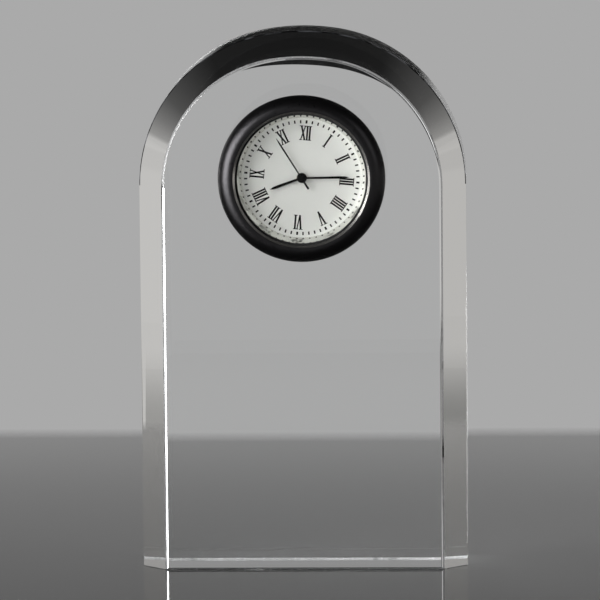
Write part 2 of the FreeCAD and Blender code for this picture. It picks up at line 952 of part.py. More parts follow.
def timing_chip():
    """The moulded timing circuit under the board."""
    half = chip_side / 2
    chip = box(-half, half, -half, half, board_front - chip_thickness, board_front)
    chip.rotate(V(0, 0, 0), BACKWARD, -chip_angle)
    return moved(chip, around(chip_orbit, chip_angle))


def button_cell():
    """The button cell: a wide can and a smaller cap, which faces the plate."""
    step = cell_front + cell_cap_step
    back = cell_front + cell_thickness
    body = turned([
        (0, cell_front),
        (cell_cap_radius, cell_front),
        (cell_cap_radius, step),
        (cell_radius - cell_edge, step),
        (cell_radius, step + cell_edge),
        (cell_radius, back - cell_edge),
        (cell_radius - cell_edge, back),
        (0, back),
    ])
    return moved(body, cell_place)


def battery_contact():
    """The flat negative contact between plate and cell, held by a peg of the plate."""
    strip = capsule(cell_place, contact_peg, contact_half_width, plate_back, cell_front)
    strip = joined(strip, disc(contact_radius, plate_back, cell_front, cell_place))
    return strip.cut(post(peg_half_width, plate_back - overrun, cell_front + overrun, contact_peg))


def battery_clip():
    """The positive contact: a curved spring beside the cell, on a foot on the plate."""
    inner = cell_radius + fit_gap
    band = sector(
        inner, inner + clip_thickness, plate_back, plate_back + clip_height,
        clip_start_angle, clip_end_angle,
    )
    foot = sector(
        inner, inner + clip_foot, plate_back, plate_back + clip_foot_thickness,
        clip_start_angle, clip_end_angle,
    )
    return moved(joined(band, foot), cell_place)


def stem():
    """The setting stem: pinion, groove for the lever, and the end that the crown is fixed on."""
    end = crown_start + crown_socket
    rod = Part.makeCylinder(stem_radius, end - stem_start, V(stem_start, stem_depth, 0), SIDEWAYS)
    groove_at = V(stem_groove_start, stem_depth, 0)
    groove = Part.makeCylinder(stem_radius + overrun, stem_groove_width, groove_at, SIDEWAYS)
    groove = groove.cut(Part.makeCylinder(stem_groove_radius, stem_groove_width, groove_at, SIDEWAYS))
    outline = tooth_outline(setting_leaves, setting_module, leaf_half_shares, 0)
    corners = [V(stem_start, stem_depth + across, up) for across, up in outline]
    face = Part.Face(Part.makePolygon(corners + [corners[0]]))
    leaves = face.extrude(V(setting_pinion_length, 0, 0))
    return joined(rod.cut(groove), leaves)


def crown():
    """The fluted setting crown."""
    valley_radius = crown_tip_radius - crown_flute_depth
    quarter = full_turn / (4 * crown_flutes)
    points = []
    for number in range(crown_flutes):
        turn = number * full_turn / crown_flutes
        points.append(around(crown_tip_radius, turn - quarter))
        points.append(around(crown_tip_radius, turn + quarter))
        points.append(around(valley_radius, turn + 2 * quarter))
    corners = [V(crown_start, stem_depth + across, up) for across, up in points]
    face = Part.Face(Part.makePolygon(corners + [corners[0]]))
    knob = face.extrude(V(crown_length, 0, 0))
    dome = Part.makeCone(
        crown_tip_radius + crown_length - crown_chamfer, crown_tip_radius - crown_chamfer,
        crown_length, V(crown_start, stem_depth, 0), SIDEWAYS,
    )
    socket = Part.makeCylinder(stem_radius, crown_socket, V(crown_start, stem_depth, 0), SIDEWAYS)
    return knob.common(dome).cut(socket)


def setting_lever():
    """The lever that holds the stem: a flat plate, two tines in the stem's groove, a slot on its stud."""
    front = plate_back + lever_lift
    back = front + lever_thickness
    plate = box(lever_start, lever_end, -lever_below, lever_above, front, back)
    middle = stem_groove_start + stem_groove_width / 2
    inner = stem_groove_radius + pivot_gap
    tines = [
        box(
            middle - tine_width / 2, middle + tine_width / 2, low, low + tine_height,
            front - tine_length, front,
        )
        for low in (inner, -inner - tine_height)
    ]
    slot = capsule(
        (lever_stud_out - crown_pull, lever_stud_up), (lever_stud_out, lever_stud_up),
        lever_stud_radius + fit_gap, front - overrun, back + overrun,
    )
    return joined(plate, *tines).cut(slot)


def hand(length, width, hub_radius, hole_radius, height, angle, tail=0, tail_width=0, cap=0):
    """A slim pressed hand: hub, blade that widens to a shoulder, and point; a cap closes its hole."""
    back = dial_front - height
    front = back - hand_thickness
    half = width / 2
    blade = prism(
        [
            (-half * hand_root_share, 0),
            (-half, length * hand_root_share),
            (-half * hand_root_share, length * hand_shoulder_share),
            (0, length),
            (half * hand_root_share, length * hand_shoulder_share),
            (half, length * hand_root_share),
            (half * hand_root_share, 0),
        ],
        front,
        back,
    )
    pieces = [blade]
    if tail:
        pieces.append(box(-tail_width / 2, tail_width / 2, -tail, 0, front, back))
    body = joined(disc(hub_radius, front - cap, back), *pieces)
    hole_front = front - (tube_stand if cap else overrun)
    body = body.cut(disc(hole_radius, hole_front, back + overrun))
    body.rotate(V(0, 0, 0), BACKWARD, angle)
    return body


def seated(shape):
    """A piece of the insert, turned a little in its bore and set into the block."""
    copy = shape.copy()
    copy.rotate(V(0, 0, 0), BACKWARD, insert_turn)
    copy.translate(V(0, -block_thickness / 2, insert_height))
    return copy


insert_pieces = {
    "bezel": bezel(),
    "lens": disc(lens_radius, lens_front, lens_back),
    "lens_gasket": lens_gasket(),
    "dial_ring": dial_ring(),
    "dial": ring(dial_hole, dial_radius, dial_front, dial_back),
    "case_cup": case_cup(),
    "friction_ring": friction_ring(),
    "case_back": case_back(),
    "back_gasket": ring(cup_inside, cup_inside + back_gasket_wall, cup_back - back_gasket_wall, cup_back),
    "movement_holder": movement_holder(),
    "main_plate": main_plate(),
    "train_bridge": train_bridge(),
    "bridge_screws": bridge_screws(),
    "hour_wheel": hour_wheel(),
    "minute_wheel": minute_wheel(),
    "cannon_pinion": cannon_pinion(),
    "centre_wheel": centre_wheel(),
    "third_wheel": third_wheel(),
    "second_wheel": second_wheel(),
    "intermediate_wheel": intermediate_wheel(),
    "rotor_pinion": rotor_pinion(),
    "rotor_magnet": rotor_magnet(),
    "stator": stator(),
    "coil_core": coil_core(),
    "coil_bobbin": coil_bobbin(),
    "coil_winding": coil_winding(),
    "circuit_board": circuit_board(),
    "quartz_crystal": quartz_crystal(),
    "timing_chip": timing_chip(),
    "button_cell": button_cell(),
    "battery_contact": battery_contact(),
    "battery_clip": battery_clip(),
    "setting_stem": stem(),
    "setting_crown": crown(),
    "setting_lever": setting_lever(),
    "hour_hand": hand(
        hour_hand_length, hour_hand_width, hour_tube_radius + hour_hub_wall, hour_tube_radius,
        hour_hand_height, hour_hand_angle,
    ),
    "minute_hand": hand(
        minute_hand_length, minute_hand_width, minute_tube_radius + minute_hub_wall,
        minute_tube_radius, minute_hand_height, minute_hand_angle,
    ),
    "second_hand": hand(
        second_hand_length, second_hand_width, second_arbor_radius + second_hub_wall,
        second_arbor_radius, second_hand_height, second_hand_angle,
        second_tail_length, second_tail_width, second_cap,
    ),
}

os.makedirs("parts", exist_ok=True)
crystal_block().exportStep("parts/crystal_block.step")
for name, shape in insert_pieces.items():
    seated(shape).exportStep("parts/" + name + ".step")
print(len(insert_pieces) + 1, "pieces")
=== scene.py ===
import json
import math

import bmesh
import bpy
from mathutils import Matrix, Vector


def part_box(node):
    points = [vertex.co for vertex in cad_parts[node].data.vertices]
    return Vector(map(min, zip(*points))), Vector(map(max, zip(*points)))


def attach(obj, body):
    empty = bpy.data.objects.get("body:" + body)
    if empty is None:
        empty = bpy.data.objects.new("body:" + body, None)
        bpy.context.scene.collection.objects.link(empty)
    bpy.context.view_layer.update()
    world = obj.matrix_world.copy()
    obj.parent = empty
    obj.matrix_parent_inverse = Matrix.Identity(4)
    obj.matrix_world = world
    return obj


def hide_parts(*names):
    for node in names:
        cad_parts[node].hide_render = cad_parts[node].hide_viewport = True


# An arched desk clock: a block of clear optical crystal with a round push-in quartz clock near its top.
# Lengths are in metres. +Z is up, the dial faces -Y, and the origin is the centre of the block's base.
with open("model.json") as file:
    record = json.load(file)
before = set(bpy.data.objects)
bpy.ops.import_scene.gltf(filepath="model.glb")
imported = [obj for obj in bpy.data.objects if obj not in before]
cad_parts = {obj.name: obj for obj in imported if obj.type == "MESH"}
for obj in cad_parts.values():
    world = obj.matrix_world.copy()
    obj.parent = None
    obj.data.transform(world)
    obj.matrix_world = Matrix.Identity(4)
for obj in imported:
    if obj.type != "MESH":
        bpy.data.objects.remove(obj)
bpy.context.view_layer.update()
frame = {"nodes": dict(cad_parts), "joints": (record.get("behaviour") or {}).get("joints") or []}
cad = frame["nodes"]
scene = bpy.context.scene


# Crystal block: sawn from optical glass, ground flat on wheels and polished clear. Its front carries a
# wide bevel round sides and arch, every meeting of two faces has a fine arris, and a bore for the clock
# is drilled from the front and left satin.
block_low, block_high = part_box("crystal_block")
block_width = block_high.x - block_low.x
block_height = block_high.z
block_front = block_low.y
block_back = block_high.y
shoulder_radius = 0.0338
crown_radius = 0.048
face_bevel = 0.0055
face_arris = 0.00038
rim_arris = 0.0002
back_arris = 0.0003
arris_steps = 4
shoulder_steps = 48
crown_steps = 64
facet_width = 0.00105
facet_middle = 0.0035
facet_half = 0.0165
facet_tilt = math.radians(6.0)
bezel_low, bezel_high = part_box("bezel")
dial_height = ((bezel_low + bezel_high) / 2).z
bore_radius = 0.0168
bore_depth = 0.009
bore_lead = 0.0003
bore_steps = 160
crystal_index = 1.49
ground_clearness = 0.25
grain_depth = 0.0001
grain_detail = 4
patch_detail = 5


def shader_of(material):
    """The node that holds a finish's colour, gloss and clearness."""
    return material.node_tree.nodes["Principled BSDF"]


def polished(name, colour, roughness, metallic=0.0, grain=900.0, spread=0.0, bump=0.0, stretch=(1, 1, 1)):
    """A finish of one colour. A fine grain may vary its gloss by a spread and its surface by a bump."""
    material = bpy.data.materials.new(name)
    material.use_nodes = True
    nodes = material.node_tree.nodes
    links = material.node_tree.links
    shader = shader_of(material)
    shader.inputs["Base Color"].default_value = (*colour, 1)
    shader.inputs["Metallic"].default_value = metallic
    shader.inputs["Roughness"].default_value = roughness
    place = nodes.new("ShaderNodeTexCoord")
    mapping = nodes.new("ShaderNodeMapping")
    mapping.inputs["Scale"].default_value = stretch
    noise = nodes.new("ShaderNodeTexNoise")
    noise.inputs["Scale"].default_value = grain
    noise.inputs["Detail"].default_value = grain_detail
    links.new(place.outputs["Object"], mapping.inputs["Vector"])
    links.new(mapping.outputs["Vector"], noise.inputs["Vector"])
    if spread:
        gloss = nodes.new("ShaderNodeMapRange")
        gloss.inputs["To Min"].default_value = max(roughness - spread, 0)
        gloss.inputs["To Max"].default_value = roughness + spread
        links.new(noise.outputs["Fac"], gloss.inputs["Value"])
        links.new(gloss.outputs["Result"], shader.inputs["Roughness"])
    if bump:
        relief = nodes.new("ShaderNodeBump")
        relief.inputs["Strength"].default_value = bump
        relief.inputs["Distance"].default_value = grain_depth
        links.new(noise.outputs["Fac"], relief.inputs["Height"])
        links.new(relief.outputs["Normal"], shader.inputs["Normal"])
    return material


def lets_through(material, share, index):
    """A share of the light passes through the finish and bends as in glass of this index."""
    shader_of(material).inputs["Transmission Weight"].default_value = share
    shader_of(material).inputs["IOR"].default_value = index


def clear_glass(name, index, colour):
    """Clear glass with a faint polishing wave."""
    material = polished(name, colour, 0.0, grain=60.0, bump=0.004)
    lets_through(material, 1, index)
    return material


def tint(material, light, dark, grain, low=0.35, high=0.65):
    """The finish's colour runs between two shades in soft patches."""
    nodes = material.node_tree.nodes
    links = material.node_tree.links
    place = nodes.new("ShaderNodeTexCoord")
    noise = nodes.new("ShaderNodeTexNoise")
    noise.inputs["Scale"].default_value = grain
    noise.inputs["Detail"].default_value = patch_detail
    ramp = nodes.new("ShaderNodeValToRGB")
    ramp.color_ramp.elements[0].position = low
    ramp.color_ramp.elements[0].color = (*dark, 1)
    ramp.color_ramp.elements[1].position = high
    ramp.color_ramp.elements[1].color = (*light, 1)
    links.new(place.outputs["Object"], noise.inputs["Vector"])
    links.new(noise.outputs["Fac"], ramp.inputs["Fac"])
    links.new(ramp.outputs["Color"], shader_of(material).inputs["Base Color"])


def arc(centre, radius, start, end, steps):
    """Points on an arc between two angles, both ends included."""
    angles = [start + (end - start) * step / steps for step in range(steps + 1)]
    return [(centre[0] + radius * math.cos(a), centre[1] + radius * math.sin(a)) for a in angles]


def arch_outline(inset, foot):
    """Foot, straight sides, two shoulders and a flatter crown, from the left foot to the left spring."""
    half = block_width / 2
    shoulder_out = half - shoulder_radius
    rise = math.sqrt((crown_radius - shoulder_radius) ** 2 - shoulder_out ** 2)
    crown_centre = block_height - crown_radius
    meet = math.atan2(rise, shoulder_out)
    radius = shoulder_radius - inset
    spring = crown_centre + rise
    right = arc((shoulder_out, spring), radius, 0, meet, shoulder_steps)
    top = arc((0, crown_centre), crown_radius - inset, meet, math.pi - meet, crown_steps)
    left = arc((-shoulder_out, spring), radius, math.pi - meet, math.pi, shoulder_steps)
    return [(inset - half, foot), (half - inset, foot)] + right + top[1:-1] + left


def eased(corner, before, after, foot):
    """A corner of the block's section rounded off: inset, foot and depth run from one face to the next."""
    rounded = []
    for step in range(arris_steps + 1):
        share = step / arris_steps
        near = [a + (b - a) * share for a, b in zip(before, corner)]
        far = [a + (b - a) * share for a, b in zip(corner, after)]
        inset, depth = (a + (b - a) * share for a, b in zip(near, far))
        rounded.append((inset, foot * (1 - share), depth))
    return rounded


def band(bm, lower, upper):
    """Quads between two closed loops of as many corners."""
    count = len(lower)
    for number in range(count):
        following = (number + 1) % count
        bm.faces.new((lower[number], lower[following], upper[following], upper[number]))


def loop_of(bm, points, depth):
    """A closed loop of corners at one depth."""
    return [bm.verts.new((x, depth, z)) for x, z in points]


def edges_round(bm, corners):
    """The edges of a closed loop of corners."""
    return [bm.edges.get((a, b)) for a, b in zip(corners, corners[1:] + corners[:1])]


def piece(name, bm, material, sharp=30.0):
    """A smooth-shaded object whose edges stay crisp past an angle, or where they were marked."""
    bmesh.ops.recalc_face_normals(bm, faces=bm.faces)
    for facet in bm.faces:
        facet.smooth = True
    mesh = bpy.data.meshes.new(name)
    bm.to_mesh(mesh)
    bm.free()
    if sharp:
        mesh.set_sharp_from_angle(angle=math.radians(sharp))
    made = bpy.data.objects.new(name, mesh)
    scene.collection.objects.link(made)
    made.data.materials.append(material)
    return made


crystal = clear_glass("optical_crystal", crystal_index, (0.985, 0.99, 0.99))
satin_bore = polished(
    "satin_ground_bore", (0.93, 0.95, 0.95), roughness=0.22,
    grain=4000.0, spread=0.06, bump=0.1,
)
lets_through(satin_bore, 1, crystal_index)
ground_arris = polished(
    "ground_arris", (0.75, 0.76, 0.77), roughness=0.25,
    grain=1400.0, spread=0.15, bump=0.9, stretch=(1, 1, 0.3),
)
tint(ground_arris, light=(0.95, 0.96, 0.97), dark=(0.02, 0.02, 0.022), grain=90.0, low=0.35, high=0.43)
# Over the arch the rim's near-black patches are painted shade, and its bright metal patches are the chips.
chipped_rim_painted_shade = polished(
    "chipped_rim_painted_shade", (0.6, 0.62, 0.66), roughness=0.1, metallic=0.85,
    grain=700.0, spread=0.1, bump=1.0,
)
tint(chipped_rim_painted_shade, light=(0.75, 0.78, 0.85), dark=(0.01, 0.01, 0.012), grain=420.0, low=0.46, high=0.62)
for ground in (ground_arris, chipped_rim_painted_shade):
    lets_through(ground, ground_clearness, crystal_index)

# Where the arris of the front face is polished, it gleams like a mirror, so its finish is one.
bright_arris = polished(
    "polished_arris", (0.95, 0.96, 0.97), roughness=0.05, metallic=1.0,
    grain=350.0, spread=0.03, bump=0.05,
)
block_finishes = [crystal, satin_bore, ground_arris, chipped_rim_painted_shade, bright_arris]

rim_depth = block_front + face_bevel
front_arris = eased(
    (face_bevel, block_front),
    (face_bevel + face_arris, block_front),
    (face_bevel - face_arris, block_front + face_arris),
    face_arris,
)
side_arris = eased((0, rim_depth), (rim_arris, rim_depth - rim_arris), (0, rim_depth + rim_arris), 0)
rear_arris = eased((0, block_back), (back_arris, block_back), (0, block_back - back_arris), back_arris)[::-1]
sections = front_arris + side_arris + rear_arris
block_bm = bmesh.new()
loops = [loop_of(block_bm, arch_outline(inset, foot), depth) for inset, foot, depth in sections]
side_start = len(front_arris)
rear_start = side_start + len(side_arris)
arris_ends = [0, side_start - 1, side_start, rear_start - 1, rear_start, len(sections) - 1]

# Bevel and sides are clear. The arrises of front and back are ground, but the front one's nearer half is
# bright, and clear from the crown's left quarter down to the left spring. The rim is chipped over the arch,
# where near-black patches paint its shade between the bright chips.
# A strip's faces run from the foot up the right side, over the arch and down the left side.
clear_stretch = 1 + shoulder_steps + crown_steps // 4
for number, (near, far) in enumerate(zip(loops, loops[1:])):
    first_face = len(block_bm.faces)
    band(block_bm, near, far)
    block_bm.faces.ensure_lookup_table()
    strip = block_bm.faces[first_face:]
    finish = ground_arris
    if number < arris_steps / 2:
        finish = bright_arris
        strip = strip[:-clear_stretch] + strip[-1:]
    if number in range(side_start, rear_start - 1):
        finish = chipped_rim_painted_shade
        strip = strip[2:-1]
    if number + 1 in (side_start, rear_start):
        strip = []
    for face in strip:
        face.material_index = block_finishes.index(finish)
block_bm.faces.new(loops[-1])

# Under the crown a narrow bright facet leans off the front face. It is widest near its middle and runs out
# to nothing at both ends.
facet_edge = list(loops[0])
for number, corner in enumerate(loops[0]):
    width = facet_width * (1 - ((corner.co.x - facet_middle) / facet_half) ** 2)
    if width > 0 and corner.co.z > dial_height:
        facet_edge[number] = block_bm.verts.new((corner.co.x, corner.co.y, corner.co.z - width))
        corner.co.y += width * math.tan(facet_tilt)
for number, corner in enumerate(loops[0]):
    ring = [loops[0][number - 1], corner, facet_edge[number], facet_edge[number - 1]]
    ring = [point for place, point in enumerate(ring) if point not in ring[:place]]
    if len(ring) > 2:
        block_bm.faces.new(ring).material_index = block_finishes.index(bright_arris)

bore_loops = []
for radius, depth in (
    (bore_radius + bore_lead, block_front),
    (bore_radius, block_front + bore_lead),
    (bore_radius, block_front + bore_depth),
):
    circle = arc((0, dial_height), radius, 0, math.tau, bore_steps)[:-1]
    bore_loops.append(loop_of(block_bm, circle, depth))
first_bore_face = len(block_bm.faces)
for near, far in zip(bore_loops, bore_loops[1:]):
    band(block_bm, near, far)
block_bm.faces.new(bore_loops[-1])
block_bm.faces.ensure_lookup_table()
for face in block_bm.faces[first_bore_face:]:
    face.material_index = block_finishes.index(satin_bore)

front_edges = edges_round(block_bm, facet_edge) + edges_round(block_bm, bore_loops[0])
bmesh.ops.triangle_fill(block_bm, use_beauty=True, edges=front_edges)
for corners in [loops[number] for number in arris_ends] + [facet_edge] + bore_loops:
    for edge in edges_round(block_bm, corners):
        edge.smooth = False
for near, far in zip(loops, loops[1:]):
    for foot_corner in (0, 1):
        block_bm.edges.get((near[foot_corner], far[foot_corner])).smooth = False
block = piece("crystal_block_polished", block_bm, crystal, sharp=None)
for finish in block_finishes[1:]:
    block.data.materials.append(finish)
# The lamps shine through the clear glass, so it throws no shadow.
block.visible_shadow = False
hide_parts("crystal_block")
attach(block, "block")


# Case: a drawn steel cup with a snap-on back and a thin rubber seal between them. It is brushed, and a
# milky plastic ring with ribs grips the bore round it.
milky_share = 0.2
milky_depth = 0.0006


def dress(material, *names):
    """Gives CAD pieces their finish."""
    for name in names:
        cad[name].data.materials.clear()
        cad[name].data.materials.append(material)


case_steel = polished(
    "brushed_case_steel", (0.55, 0.55, 0.53), roughness=0.3, metallic=1.0,
    grain=700.0, spread=0.1, bump=0.15, stretch=(1, 1, 14),
)
dress(case_steel, "case_cup", "case_back")
grip_plastic = polished(
    "milky_grip_plastic", (0.72, 0.73, 0.71), roughness=0.45,
    grain=1500.0, spread=0.08, bump=0.1,
)
shader_of(grip_plastic).inputs["Subsurface Weight"].default_value = milky_share
shader_of(grip_plastic).inputs["Subsurface Radius"].default_value = (milky_depth, milky_depth, milky_depth)
dress(grip_plastic, "friction_ring", "movement_holder")
seal_rubber = polished(
    "black_seal_rubber", (0.015, 0.015, 0.016), roughness=0.55,
    grain=2500.0, spread=0.1, bump=0.15,
)
dress(seal_rubber, "back_gasket")


# Movement frame: a moulded black plate and a nickelled bridge held by three slotted screws, which carry
# the going train between them. Stem, crown, lever and battery contacts are small steel parts on it.
movement_plastic = polished(
    "black_moulded_plastic", (0.03, 0.03, 0.033), roughness=0.4,
    grain=1800.0, spread=0.1, bump=0.12,
)
dress(movement_plastic, "main_plate", "timing_chip")
bridge_nickel = polished(
    "nickelled_bridge", (0.62, 0.59, 0.54), roughness=0.28, metallic=1.0,
    grain=900.0, spread=0.08, bump=0.1, stretch=(1, 1, 8),
)
dress(bridge_nickel, "train_bridge")
small_steel = polished(
    "small_steel_parts", (0.52, 0.52, 0.54), roughness=0.22, metallic=1.0,
    grain=2200.0, spread=0.08, bump=0.08,
)
dress(
    small_steel, "bridge_screws", "battery_clip", "battery_contact", "setting_lever", "setting_stem",
    "setting_crown",
)


# Going train and motion work: stamped brass wheels on turned arbors, and one white moulded wheel under
# the dial.
wheel_brass = polished(
    "stamped_wheel_brass", (0.72, 0.5, 0.2), roughness=0.25, metallic=1.0,
    grain=1600.0, spread=0.08, bump=0.1,
)
tint(wheel_brass, light=(0.76, 0.55, 0.24), dark=(0.64, 0.43, 0.17), grain=500.0)
dress(
    wheel_brass, "second_wheel", "third_wheel", "centre_wheel", "cannon_pinion", "hour_wheel",
    "intermediate_wheel", "rotor_pinion",
)
wheel_plastic = polished(
    "white_moulded_wheel", (0.72, 0.72, 0.68), roughness=0.4,
    grain=2000.0, spread=0.06, bump=0.08,
)
dress(wheel_plastic, "minute_wheel")


# Stepping motor: a sintered magnet on the rotor, a stamped soft-iron stator and core, and a coil of
# fine copper wire on a plastic bobbin. The winding is one solid, and a band texture draws its turns.
magnet = polished(
    "sintered_magnet", (0.09, 0.09, 0.1), roughness=0.5, metallic=1.0,
    grain=3500.0, spread=0.12, bump=0.2,
)
dress(magnet, "rotor_magnet")
soft_iron = polished(
    "stamped_soft_iron", (0.42, 0.42, 0.42), roughness=0.4, metallic=1.0,
    grain=1400.0, spread=0.1, bump=0.12,
)
dress(soft_iron, "stator", "coil_core")
dress(grip_plastic, "coil_bobbin")
wire_pitch = 0.00008
# A band texture repeats at this length while its scale is 1.
unscaled_pitch = math.tau / 20
turn_unevenness = 0.6
turn_relief_strength = 0.6
copper_wire = polished(
    "enamelled_copper_wire", (0.55, 0.2, 0.07), roughness=0.3, metallic=0.9,
    grain=2500.0, spread=0.08,
)
wire_nodes = copper_wire.node_tree.nodes
wire_links = copper_wire.node_tree.links
turns = wire_nodes.new("ShaderNodeTexWave")
turns.inputs["Scale"].default_value = unscaled_pitch / wire_pitch
turns.inputs["Distortion"].default_value = turn_unevenness
turn_relief = wire_nodes.new("ShaderNodeBump")
turn_relief.inputs["Strength"].default_value = turn_relief_strength
turn_relief.inputs["Distance"].default_value = wire_pitch / 2
wire_place = wire_nodes.new("ShaderNodeTexCoord")
wire_links.new(wire_place.outputs["Object"], turns.inputs["Vector"])
wire_links.new(turns.outputs["Fac"], turn_relief.inputs["Height"])
wire_links.new(turn_relief.outputs["Normal"], shader_of(copper_wire).inputs["Normal"])
dress(copper_wire, "coil_winding")


# Electronics and battery: a lacquered green board, a can and a moulded chip under it, and a nickelled
# button cell.
board_green = polished(
    "lacquered_circuit_board", (0.04, 0.2, 0.08), roughness=0.25,
    grain=2600.0, spread=0.05, bump=0.05,
)
tint(board_green, light=(0.05, 0.24, 0.1), dark=(0.025, 0.14, 0.05), grain=900.0, low=0.47, high=0.53)
dress(board_green, "circuit_board")
cell_nickel = polished(
    "nickelled_can", (0.62, 0.61, 0.58), roughness=0.25, metallic=1.0,
    grain=1300.0, spread=0.1, bump=0.08,
)
dress(cell_nickel, "button_cell", "quartz_crystal")


# Dial: a brass disc lacquered satin white. Sixty ticks and Roman hours are pad-printed on it in black,
# feet towards the centre. The setting crown stands at three o'clock and tells how the dial is turned.
crown_axis = next(joint["axis"] for joint in frame["joints"] if joint["name"] == "crown_turn")
dial_turn = math.atan2(-crown_axis[2], crown_axis[0])
dial_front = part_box("dial")[0].y
seat_in_block = Matrix.Translation((0, 0, dial_height)) @ Matrix.Rotation(dial_turn, 4, "Y")
dial_white = polished(
    "satin_white_lacquer", (0.84, 0.85, 0.815), roughness=0.5,
    grain=2500.0, spread=0.05, bump=0.03,
)
dress(dial_white, "dial")

tick_start = 0.012
tick_end = 0.0127
tick_width = 0.00031
hour_tick_width = 0.00041
tick_count = 60
numeral_foot = 0.00828
numeral_height = 0.00322
thick_stroke = 0.00039
thin_stroke = 0.00025
serif_thickness = 0.00017
serif_reach = 0.00019
letter_widths = {"I": 0.00056, "V": 0.00124, "X": 0.00128}
hours = ["XII", "I", "II", "III", "IIII", "V", "VI", "VII", "VIII", "IX", "X", "XI"]
print_relief = 0.000012
thin_relief = print_relief * 0.9
serif_relief = print_relief * 0.8
ink_shine = 0.06


def printed_patch(bm, corners, relief):
    """A thin printed patch on the dial: four corners across it, raised by the ink."""
    back = [bm.verts.new((x, dial_front, z)) for x, z in corners]
    front = [bm.verts.new((x, dial_front - relief, z)) for x, z in corners]
    band(bm, back, front)
    bm.faces.new(front)


def stroke(foot_middle, top_middle, width):
    """The corners of a slanting stroke from foot to top, cut level at both ends."""
    return [
        (foot_middle - width / 2, 0),
        (foot_middle + width / 2, 0),
        (top_middle + width / 2, numeral_height),
        (top_middle - width / 2, numeral_height),
    ]


def serif(middle, at_top, width):
    """The corners of the fine level bar that ends a stroke."""
    low = numeral_height - serif_thickness if at_top else 0
    half = width / 2 + serif_reach
    return [
        (middle - half, low),
        (middle + half, low),
        (middle + half, low + serif_thickness),
        (middle - half, low + serif_thickness),
    ]


def letter_shapes(letter, middle):
    """Each stroke's corners and the relief that keeps crossing strokes apart."""
    reach = letter_widths[letter] / 2 - serif_reach
    if letter == "I":
        return [
            (stroke(middle, middle, thick_stroke), print_relief),
            (serif(middle, True, thick_stroke), serif_relief),
            (serif(middle, False, thick_stroke), serif_relief),
        ]
    shapes = [
        (serif(middle - reach, True, thick_stroke), serif_relief),
        (serif(middle + reach, True, thin_stroke), serif_relief),
    ]
    if letter == "V":
        shapes.append((stroke(middle, middle - reach, thick_stroke), print_relief))
        shapes.append((stroke(middle, middle + reach, thin_stroke), thin_relief))
        return shapes
    shapes.append((stroke(middle + reach, middle - reach, thick_stroke), print_relief))
    shapes.append((stroke(middle - reach, middle + reach, thin_stroke), thin_relief))
    shapes.append((serif(middle - reach, False, thin_stroke), serif_relief))
    shapes.append((serif(middle + reach, False, thick_stroke), serif_relief))
    return shapes


def across_dial(point, clockwise):
    """A point given as across and out from the dial's centre, at an angle clockwise from twelve."""
    across, out = point
    return (
        across * math.cos(clockwise) + out * math.sin(clockwise),
        out * math.cos(clockwise) - across * math.sin(clockwise),
    )


dial_ink = polished(
    "black_dial_ink", (0.002, 0.002, 0.002), roughness=0.35,
    grain=3000.0, spread=0.08,
)
shader_of(dial_ink).inputs["Specular IOR Level"].default_value = ink_shine
numerals_bm = bmesh.new()
for number, hour in enumerate(hours):
    clockwise = number * math.tau / len(hours)
    across = -sum(letter_widths[letter] for letter in hour) / 2
    for letter in hour:
        middle = across + letter_widths[letter] / 2
        across += letter_widths[letter]
        for corners, relief in letter_shapes(letter, middle):
            placed = [across_dial((x, z + numeral_foot), clockwise) for x, z in corners]
            printed_patch(numerals_bm, placed, relief)
numerals_bm.transform(seat_in_block)
numerals = piece("dial_numerals", numerals_bm, dial_ink)
ticks_bm = bmesh.new()
for number in range(tick_count):
    between_hours = number % (tick_count // len(hours))
    half = (tick_width if between_hours else hour_tick_width) / 2
    corners = [(-half, tick_start), (half, tick_start), (half, tick_end), (-half, tick_end)]
    placed = [across_dial(corner, number * math.tau / tick_count) for corner in corners]
    printed_patch(ticks_bm, placed, print_relief)
ticks_bm.transform(seat_in_block)
ticks = piece("dial_minute_ticks", ticks_bm, dial_ink)
# The dial ring mirrors the ticks, and no numeral.
numerals.visible_glossy = False
for printed in (numerals, ticks):
    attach(printed, "insert")


# Hands: slim batons stamped from steel and lacquered black, each pressed on its own tube. The lacquered
# hands are a little fuller all round than the bare stampings of the CAD model.
hand_growth = 0.00007
second_hand_growth = 0.00005
weld_distance = 0.0000005
side_facing = 0.1
lacquer_shine = 0.12
hand_lacquer = polished(
    "satin_black_lacquer", (0.002, 0.002, 0.002), roughness=0.22,
    grain=1500.0, spread=0.05,
)
shader_of(hand_lacquer).inputs["Specular IOR Level"].default_value = lacquer_shine
for name, body, growth in (
    ("hour_hand", "hours", hand_growth),
    ("minute_hand", "minutes", hand_growth),
    ("second_hand", "seconds", second_hand_growth),
):
    hand_bm = bmesh.new()
    hand_bm.from_mesh(cad[name].data)
    bmesh.ops.remove_doubles(hand_bm, verts=hand_bm.verts, dist=weld_distance)
    hand_bm.normal_update()
    for point in hand_bm.verts:
        outward = Vector((point.normal.x, 0, point.normal.z))
        if outward.length > side_facing:
            point.co += outward.normalized() * growth
    hand = piece(name + "_lacquered", hand_bm, hand_lacquer)
    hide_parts(name)
    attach(hand, body)


# Dial ring: a bright polished ring that stands on the dial's edge. Its wall runs straight back from the
# gasket and ends in a cone that mirrors the minute ticks.
ring_proud = 0.0012
ring_front = block_front - ring_proud
dial_sight = 0.01324
ring_cone_height = 0.0014
gasket_window = 0.01415
cup_inside = 0.0154
turning_steps = 240


def turned(name, profile, material, sharp=30.0):
    """A ring turned about the dial's axis from a closed profile of radii and depths."""
    bm = bmesh.new()
    rings = [
        loop_of(bm, arc((0, 0), radius, 0, math.tau, turning_steps)[:-1], depth) for radius, depth in profile
    ]
    for first, second in zip(rings, rings[1:] + rings[:1]):
        band(bm, first, second)
    bm.transform(seat_in_block)
    return piece(name, bm, material, sharp)


